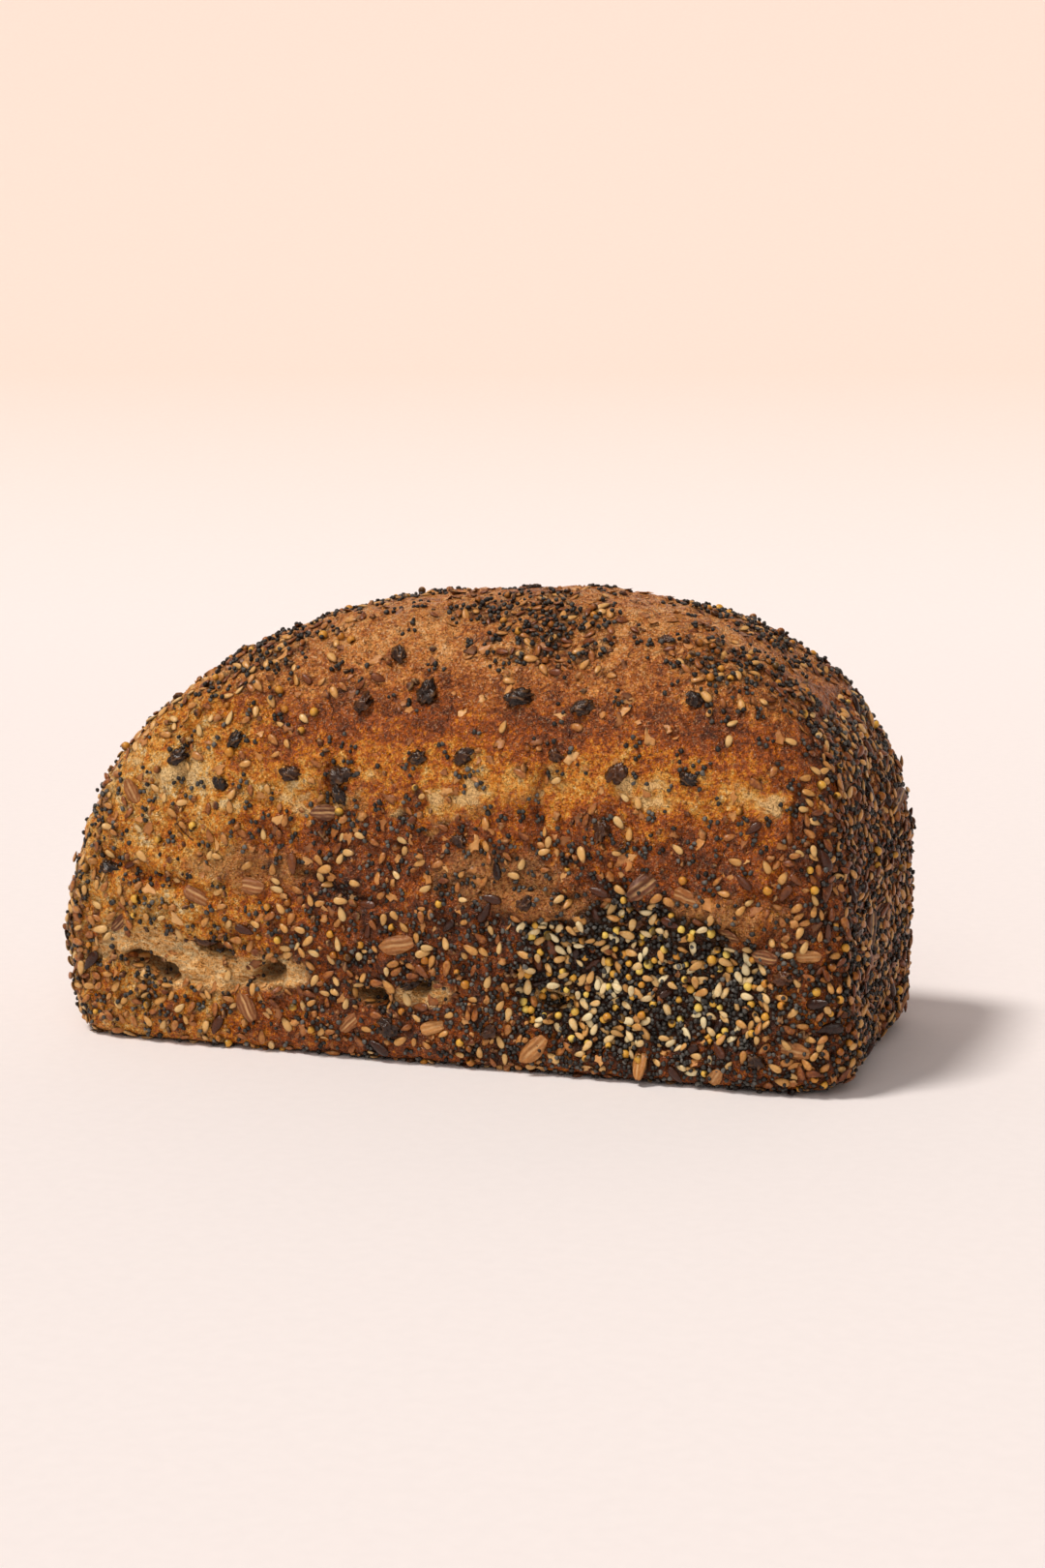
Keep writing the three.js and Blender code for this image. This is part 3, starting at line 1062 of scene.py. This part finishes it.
def bread_crust():
    """Yeast-dough crust, baked in an open tin: browned sugars that run from pale straw through amber to
    red-brown, a thin skin dried over tiny blisters that glint with fat, and open crumb where it tore. The
    glints are also painted pale as painted highlights. The seams, the hollows and the crust between crowded
    seeds are painted dark as painted shade."""
    material, tree, shader, place = new_material("bread_crust")
    toast, torn, hollow, crowded, pitted, crown, thin = (
        add(tree, "ShaderNodeAttribute", attribute_name=name).outputs["Fac"]
        for name in ("toast", "torn", "hollow", "crowded", "pitted", "crown", "thin")
    )

    # Grain of the dried skin, 0.5 mm; the mottle of its browning, 2.5 mm; drifts of flour and fat, 9 mm.
    grain = add(
        tree,
        "ShaderNodeTexNoise",
        {"Vector": place, "Scale": 1 / (0.5 * MM), "Detail": 2.0, "Roughness": 0.6},
    ).outputs["Fac"]
    mottle = add(
        tree,
        "ShaderNodeTexNoise",
        {"Vector": place, "Scale": 1 / (2.5 * MM), "Detail": 4.0, "Roughness": 0.65},
    ).outputs["Fac"]
    cloud = add(
        tree,
        "ShaderNodeTexNoise",
        {"Vector": place, "Scale": 1 / (9 * MM), "Detail": 4.0, "Roughness": 0.6},
    ).outputs["Fac"]
    # Its blisters are domes 1 mm across; the hollow seams between them are painted darker as painted shade.
    wander = add(tree, "ShaderNodeTexNoise", {"Vector": place, "Scale": 1 / (1.6 * MM), "Detail": 2.0})
    sway = add(
        tree, "ShaderNodeVectorMath", {0: wander.outputs["Color"], "Scale": 1.2 * MM}, operation="SCALE"
    ).outputs["Vector"]
    bent = add(tree, "ShaderNodeVectorMath", {0: place, 1: sway}, operation="ADD").outputs["Vector"]
    seams = add(tree, "ShaderNodeTexVoronoi", {"Vector": bent, "Scale": 1 / (1.0 * MM)}).outputs["Distance"]

    colour = browned_dough(tree, toast, crown, (mottle, grain, cloud, seams))
    colour, peel, glint = pinholes_and_glints(tree, place, bent, crown, colour)
    colour, wisp = pale_wisps(tree, bent, thin, colour)
    pores, open_bread, crumb = open_crumb(tree, bent)
    colour = add(
        tree,
        "ShaderNodeMix",
        {"Factor": torn, "A": colour, "B": crumb},
        data_type="RGBA",
    ).outputs["Result"]
    pitted_skin = add(
        tree,
        "ShaderNodeValToRGB",
        {"Fac": pores},
        stops=[(0.05, "#58290f"), (0.3, "#a3622c"), (0.8, "#cb9254")],
    ).outputs["Color"]
    pit_share = add(tree, "ShaderNodeMath", {0: pitted, 1: 0.75}, operation="MULTIPLY").outputs["Value"]
    colour = add(
        tree, "ShaderNodeMix", {"Factor": pit_share, "A": colour, "B": pitted_skin}, data_type="RGBA"
    ).outputs["Result"]

    # Between crowded seeds and in deep hollows the crust is painted dark. This is painted shade for the shade
    # that falls there, and between the seeds also the oil taken up by the thin skin.
    dark = add(tree, "ShaderNodeMath", {0: crowded, 1: 0.9}, operation="MULTIPLY").outputs["Value"]
    deep = add(tree, "ShaderNodeMath", {0: hollow, 1: 0.75}, operation="MULTIPLY").outputs["Value"]
    for share, tone in ((dark, "#1e0d05"), (deep, "#4a2710")):
        colour = add(
            tree, "ShaderNodeMix", {"Factor": share, "A": colour, "B": linear(tone)}, data_type="RGBA"
        ).outputs["Result"]

    crack = hairline_cracks(tree, place, cloud)
    colour = add(
        tree, "ShaderNodeMix", {"Factor": crack, "A": colour, "B": linear("#562a10")}, data_type="RGBA"
    ).outputs["Result"]
    tree.links.new(colour, shader.inputs["Base Color"])

    # The skin is glossy with fat on its blisters and dull between them; crumb is dull.
    gloss = add(
        tree,
        "ShaderNodeMapRange",
        {"Value": seams, "From Min": 0.2, "From Max": 0.7, "To Min": 0.18, "To Max": 0.48},
    ).outputs["Result"]
    gloss = add(
        tree,
        "ShaderNodeMix",
        {"Factor": glint, 2: gloss, 3: 0.16},
        data_type="FLOAT",
    ).outputs["Result"]
    rough = add(
        tree,
        "ShaderNodeMix",
        {"Factor": torn, 2: gloss, 3: 0.85},
        data_type="FLOAT",
    ).outputs["Result"]
    tree.links.new(rough, shader.inputs["Roughness"])
    shader.inputs["Specular IOR Level"].default_value = 0.34

    pit_depth = add(tree, "ShaderNodeMath", {0: torn, 1: pit_share}, operation="MAXIMUM").outputs["Value"]
    pit_height = add(
        tree,
        "ShaderNodeMath",
        {0: open_bread, 1: pit_depth},
        operation="MULTIPLY",
    ).outputs["Value"]
    skin_share = add(tree, "ShaderNodeMath", {0: 1.0, 1: torn}, operation="SUBTRACT").outputs["Value"]
    seam_depth = add(
        tree,
        "ShaderNodeMath",
        {0: seams, 1: skin_share},
        operation="MULTIPLY",
    ).outputs["Value"]
    bump = add(tree, "ShaderNodeBump", {"Height": mottle, "Distance": 1.8 * MM}).outputs["Normal"]
    for height, depth, is_sunk in (
        (peel, 1.3, False),
        (seam_depth, 0.30, True),
        (grain, 0.24, False),
        (glint, 0.08, False),
        (pit_height, 0.60, False),
        (wisp, 0.25, False),
        (crack, 0.35, True),
    ):
        bump = add(
            tree,
            "ShaderNodeBump",
            {"Height": height, "Normal": bump, "Distance": depth * MM},
            invert=is_sunk,
        ).outputs["Normal"]
    tree.links.new(bump, shader.inputs["Normal"])
    return material


def seed_coat(name, tones, mark_colour, mark_share, fleck, fleck_depth, roughness, ior=1.48):
    """A seed's dry coat: tones are its colours from the palest seed to the darkest, mark_colour that of its
    scar, tip, groove or ridges (on malt a painted highlight), and fleck the size in millimetres of the coat's
    texture. Its lower side is painted dark as painted shade."""
    material, tree, shader, place = new_material(name)
    tone, mark, foot = (
        add(tree, "ShaderNodeAttribute", attribute_name=attribute).outputs["Fac"]
        for attribute in ("tone", "mark", "foot")
    )
    texture = add(
        tree,
        "ShaderNodeTexNoise",
        {"Vector": place, "Scale": 1 / (fleck * MM), "Detail": 3.0, "Roughness": 0.6},
    ).outputs["Fac"]
    uneven = add(
        tree,
        "ShaderNodeMapRange",
        {"Value": texture, "From Min": 0.3, "From Max": 0.7, "To Min": -0.12, "To Max": 0.12},
    ).outputs["Result"]
    shade = add(tree, "ShaderNodeMath", {0: tone, 1: uneven}, operation="ADD").outputs["Value"]
    colour = add(tree, "ShaderNodeValToRGB", {"Fac": shade}, stops=tones).outputs["Color"]
    share = add(tree, "ShaderNodeMath", {0: mark, 1: mark_share}, operation="MULTIPLY").outputs["Value"]
    colour = add(
        tree, "ShaderNodeMix", {"Factor": share, "A": colour, "B": linear(mark_colour)}, data_type="RGBA"
    ).outputs["Result"]
    # Where it sits in the crust, its lower side is painted near black. This is partly the oil and browned
    # dough there and partly painted shade where the seed meets the crust.
    contact_shade_share = add(tree, "ShaderNodeMath", {0: foot, 1: 0.85}, operation="MULTIPLY").outputs["Value"]
    colour = add(
        tree, "ShaderNodeMix", {"Factor": contact_shade_share, "A": colour, "B": linear("#1a0b04")}, data_type="RGBA"
    ).outputs["Result"]
    tree.links.new(colour, shader.inputs["Base Color"])
    shader.inputs["Specular IOR Level"].default_value = 0.4
    wear = add(
        tree,
        "ShaderNodeMapRange",
        {
            "Value": texture,
            "From Min": 0.3,
            "From Max": 0.7,
            "To Min": roughness - 0.1,
            "To Max": roughness + 0.1,
        },
    ).outputs["Result"]
    tree.links.new(wear, shader.inputs["Roughness"])
    shader.inputs["IOR"].default_value = ior
    bump = add(
        tree, "ShaderNodeBump", {"Height": texture, "Strength": 1.0, "Distance": fleck_depth * MM}
    ).outputs["Normal"]
    tree.links.new(bump, shader.inputs["Normal"])
    return material


def studio_paper():
    """Matt seamless background paper, nearly white underfoot and pale blush where it sweeps up, with a
    barely seen fibre."""
    material, tree, shader, place = new_material("studio_paper")
    fibre = add(
        tree,
        "ShaderNodeTexNoise",
        {"Vector": place, "Scale": 1 / (3 * MM), "Detail": 3.0},
    ).outputs["Fac"]
    level = add(
        tree, "ShaderNodeValToRGB", {"Fac": fibre}, stops=[(0.3, "#eeecee"), (0.7, "#f0eef0")]
    ).outputs["Color"]
    swept = add(
        tree, "ShaderNodeValToRGB", {"Fac": fibre}, stops=[(0.3, "#eedcd3"), (0.7, "#f0ded5")]
    ).outputs["Color"]
    height = add(tree, "ShaderNodeSeparateXYZ", {"Vector": place}).outputs["Z"]
    raised = add(
        tree,
        "ShaderNodeMapRange",
        {"Value": height, "From Min": 0.0, "From Max": 0.14, "To Min": 0.0, "To Max": 1.0},
    ).outputs["Result"]
    colour = add(
        tree, "ShaderNodeMix", {"Factor": raised, "A": level, "B": swept}, data_type="RGBA"
    ).outputs["Result"]
    tree.links.new(colour, shader.inputs["Base Color"])
    shader.inputs["Roughness"].default_value = 0.9
    return material


# ---------------------------------------------------------------- the loaf


def thinness(points, places):
    """How thin and stretched the skin is at each point of the crust, 0 to 1: most of all above the tin's
    rim, and over much of the gentle end."""
    x, _, z = points.T
    over_end = soft_step(x, -34, -62) * soft_step(z, 20, 40) * soft_step(z, 80, 62)
    return np.maximum(places["pale"], 0.42 * over_end) * (1 - places["torn"])


def crowding(points, seeds):
    """How crowded the seeds are round each point of the crust, 0 to 1."""
    cell = 1.25
    margin = 6
    low = LOW - margin
    shape = np.ceil((SIDES + 2 * margin) / cell).astype(int)
    weight = np.zeros(shape)
    for kind, area in (("poppy", 0.8), ("sesame", 3.6), ("millet", 2.4), ("linseed", 4.0)):
        at = ((seeds[kind][0] - low) / cell).astype(int).clip(0, shape - 1)
        np.add.at(weight, tuple(at.T), area)
    for axis in range(3):
        weight = (np.roll(weight, 1, axis) + 2 * weight + np.roll(weight, -1, axis)) / 4
    at = ((points - low) / cell).astype(int).clip(0, shape - 1)
    return soft_step(weight[tuple(at.T)], 0.05, 0.62)


def seed_coats():
    """The material of each kind of seed."""
    # Poppy: a slate-grey pitted coat, duller and browner where it baked.
    poppy = seed_coat(
        "poppy_seed_coat",
        [(0.0, "#6b6963"), (0.3, "#454440"), (0.65, "#2b2926"), (1.0, "#17130f")],
        "#17120d", 0.0, 0.4, 0.16, 0.45,
    )
    # Sesame: a thin oily coat, cream where it stayed raw and tan to red-brown where it toasted.
    sesame = seed_coat(
        "toasted_sesame_coat",
        [(0.0, "#e8d9ac"), (0.3, "#dab374"), (0.6, "#cb944e"), (0.85, "#a0602a"), (1.0, "#6a3412")],
        "#7c4418", 0.65, 0.8, 0.10, 0.38,
    )
    # Millet: a shiny yellow grain with a brown scar.
    millet = seed_coat(
        "millet_coat",
        [(0.0, "#ecd068"), (0.4, "#dba73e"), (0.75, "#c4822c"), (1.0, "#8f5119")],
        "#2f170a", 1.0, 1.0, 0.08, 0.35,
    )
    # Linseed: a hard, polished dark brown coat.
    linseed = seed_coat(
        "linseed_coat",
        [(0.0, "#8a5026"), (0.4, "#552a12"), (0.8, "#32170a"), (1.0, "#1f0d06")],
        "#7c4e30", 0.6, 0.8, 0.16, 0.28,
    )
    # Malted grain, caramelised nearly black. Its ridges are painted browner and paler: partly their own
    # browner rims and partly a painted highlight.
    malt = seed_coat(
        "malted_grain",
        [(0.0, "#6a3c1e"), (0.35, "#44240f"), (0.7, "#2a150a"), (1.0, "#180c06")],
        "#94683c", 0.55, 0.9, 0.30, 0.26,
    )
    # Rolled grain and husk: dull, ribbed, straw to red-brown, with a pale groove.
    flake = seed_coat(
        "grain_flake",
        [(0.0, "#c08646"), (0.4, "#955a28"), (0.8, "#6b3816"), (1.0, "#472210")],
        "#d9ac74", 0.75, 0.7, 0.22, 0.45,
    )
    # Dried husk and skin: thin, straw to brown.
    husk = seed_coat(
        "dried_husk",
        [(0.0, "#dcae70"), (0.4, "#bd7d3c"), (0.8, "#88491c"), (1.0, "#5c2c10")],
        "#dcae70", 0.2, 0.8, 0.14, 0.42,
    )
    # Crumbs of dough, dried and browned on the crust.
    dried_dough = seed_coat(
        "dried_dough",
        [(0.0, "#cf9450"), (0.35, "#a8662a"), (0.7, "#74390f"), (1.0, "#3c1a08")],
        "#dcae70", 0.5, 0.6, 0.20, 0.5,
    )
    return {
        "poppy": poppy,
        "sesame": sesame,
        "millet": millet,
        "linseed": linseed,
        "clump": malt,
        "flake": flake,
        "bran": husk,
        "crumb": dried_dough,
    }


def make_loaf():
    """The crust and its seeds, each kind of seed as one piece, or as several where there are many."""
    smooth, faces, layout = smooth_loaf()
    points, places = shape_crust(smooth, faces)
    normals = corner_normals(points, faces)
    seeds = scatter_seeds(points, faces, normals, places)
    values = {
        "toast": toast_of(points, places),
        "torn": np.maximum(places["torn"], places["holes"]),
        "hollow": places["holes"],
        "pitted": places["pitted"] * (1 - places["torn"]),
        # Where seeds crowd and under the drift; the crust's material paints this dark as painted shade.
        "crowded": np.maximum(crowding(points, seeds), places["drift"]) * (1 - 0.8 * places["torn"]),
        "crown": soft_step(points[:, 2] + 4 * lumps(points, 16, 2.9), 74, 90),
        "thin": thinness(points, places),
    }
    crust = add_piece("crust", points, faces, layout, values, bread_crust())
    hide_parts("loaf")
    coats = seed_coats()

    def tones_for(kind, low, high, drift_shift=0.0):
        centres = seeds[kind][0]
        tones = RANDOM.uniform(low, high, len(centres))
        in_drift = patches(centres, DRIFT, edge=0.12, wobble=0.3)
        far_baked = np.maximum(soft_step(centres[:, 0], 78, 90), soft_step(centres[:, 2], 74, 86))
        return (tones + drift_shift * in_drift + 0.20 * far_baked).clip(0, 1)

    def in_lots(kind, most):
        lots = max(1, math.ceil(len(seeds[kind][0]) / most))
        order = np.argsort(np.arctan2(seeds[kind][0][:, 1], seeds[kind][0][:, 0]))
        return np.array_split(order, lots)

    def add_kind(kind, name, tones, most):
        """Adds the seeds of a kind, at most so many to a piece, which keeps each under 200 000 triangles."""
        for number, lot in enumerate(in_lots(kind, most), 1):
            part = tuple(values[lot] for values in seeds[kind])
            add_seeds(f"{name}_{number}", kind, part, tones[lot], coats[kind])

    add_kind("poppy", "poppy_seeds", tones_for("poppy", 0.0, 1.0), 3600)
    add_kind("sesame", "sesame_seeds", tones_for("sesame", 0.26, 0.96, -0.34), 1600)
    add_kind("millet", "millet_seeds", tones_for("millet", 0.3, 1.0, -0.3), 1100)
    add_kind("linseed", "linseeds", tones_for("linseed", 0.1, 1.0), 800)
    add_kind("clump", "malt_clumps", tones_for("clump", 0.2, 1.0), 190)
    add_kind("flake", "grain_flakes", tones_for("flake", 0.1, 0.9), 115)
    add_kind("bran", "husk_shards", tones_for("bran", 0.1, 0.9), 1800)
    add_kind("crumb", "dough_crumbs", tones_for("crumb", 0.1, 1.0), 2000)


# ---------------------------------------------------------------- the studio

CAMERA_TURN = 20.04  # degrees round the loaf from its front, towards the steep end
CAMERA_DISTANCE = 654.1  # from the middle of the base, along the table
CAMERA_HEIGHT = 152.9
CAMERA_SIDE_STEP = -1.3  # along the loaf
CAMERA_PITCH = 8.42  # degrees down
CAMERA_AIM = 0.63  # degrees to the right of the middle of the loaf
CAMERA_LENS = 66.4


def add_camera():
    camera = bpy.data.objects.new("camera", bpy.data.cameras.new("camera"))
    bpy.context.scene.collection.objects.link(camera)
    turn = math.radians(CAMERA_TURN)
    camera.location = (
        (math.sin(turn) * CAMERA_DISTANCE + CAMERA_SIDE_STEP) * MM,
        -math.cos(turn) * CAMERA_DISTANCE * MM,
        CAMERA_HEIGHT * MM,
    )
    camera.rotation_euler = (math.radians(90 - CAMERA_PITCH), 0, math.radians(CAMERA_TURN - CAMERA_AIM))
    camera.data.lens = CAMERA_LENS
    camera.data.sensor_width = 36
    bpy.context.scene.camera = camera


def add_lamp(name, turn, rise, spread, power, colour):
    """A large lamp far off. turn is in degrees from the loaf's front, towards its steep end, rise in
    degrees above the table, and spread how wide the lamp looks from the loaf."""
    lamp = bpy.data.lights.new(name, "SUN")
    lamp.angle = math.radians(spread)
    lamp.energy = power
    lamp.color = linear(colour)[:3]
    holder = bpy.data.objects.new(name, lamp)
    bpy.context.scene.collection.objects.link(holder)
    t, r = math.radians(turn), math.radians(rise)
    way = Vector((math.sin(t) * math.cos(r), -math.cos(t) * math.cos(r), math.sin(r)))
    holder.location = way * 3
    holder.rotation_euler = way.to_track_quat("Z", "Y").to_euler()


def add_floor():
    """A sheet of paper that sweeps up behind the loaf, seen from the camera."""
    turn = math.radians(CAMERA_TURN)
    forward = Vector((-math.sin(turn), math.cos(turn), 0))
    right = Vector((math.cos(turn), math.sin(turn), 0))
    start, bend, radius, height, half_width = -3.0, 0.8, 3.0, 5.0, 6.0
    profile = [(start, 0.0), (bend, 0.0)]
    bend_steps = 24
    for step in range(1, bend_steps + 1):
        angle = step / bend_steps * math.pi / 2
        profile.append((bend + radius * math.sin(angle), radius * (1 - math.cos(angle))))
    profile.append((bend + radius, height))
    sweep = bmesh.new()
    rows = []
    for depth, up in profile:
        middle = forward * depth + Vector((0, 0, up))
        rows.append([sweep.verts.new(middle + right * side * half_width) for side in (-1, 1)])
    for (a, b), (c, d) in zip(rows, rows[1:]):
        sweep.faces.new((a, b, d, c))
    mesh = bpy.data.meshes.new("paper_sweep")
    sweep.to_mesh(mesh)
    sweep.free()
    mesh.shade_smooth()
    mesh.materials.append(studio_paper())
    floor = bpy.data.objects.new("paper_sweep", mesh)
    bpy.context.scene.collection.objects.link(floor)


def add_studio():
    """A key light from the upper left, a broad softer one over the camera, and a pale room round them."""
    world = bpy.data.worlds.new("studio")
    world.use_nodes = True
    world.node_tree.nodes["Background"].inputs["Color"].default_value = linear("#fff3ee")
    world.node_tree.nodes["Background"].inputs["Strength"].default_value = 0.22
    bpy.context.scene.world = world
    add_lamp("key", turn=-48, rise=62, spread=14, power=2.42, colour="#fff5ec")
    add_lamp("front", turn=12, rise=34, spread=50, power=0.84, colour="#fff3ea")
    add_floor()
    add_camera()
    bpy.context.scene.view_settings.view_transform = "Standard"


make_loaf()
add_studio()
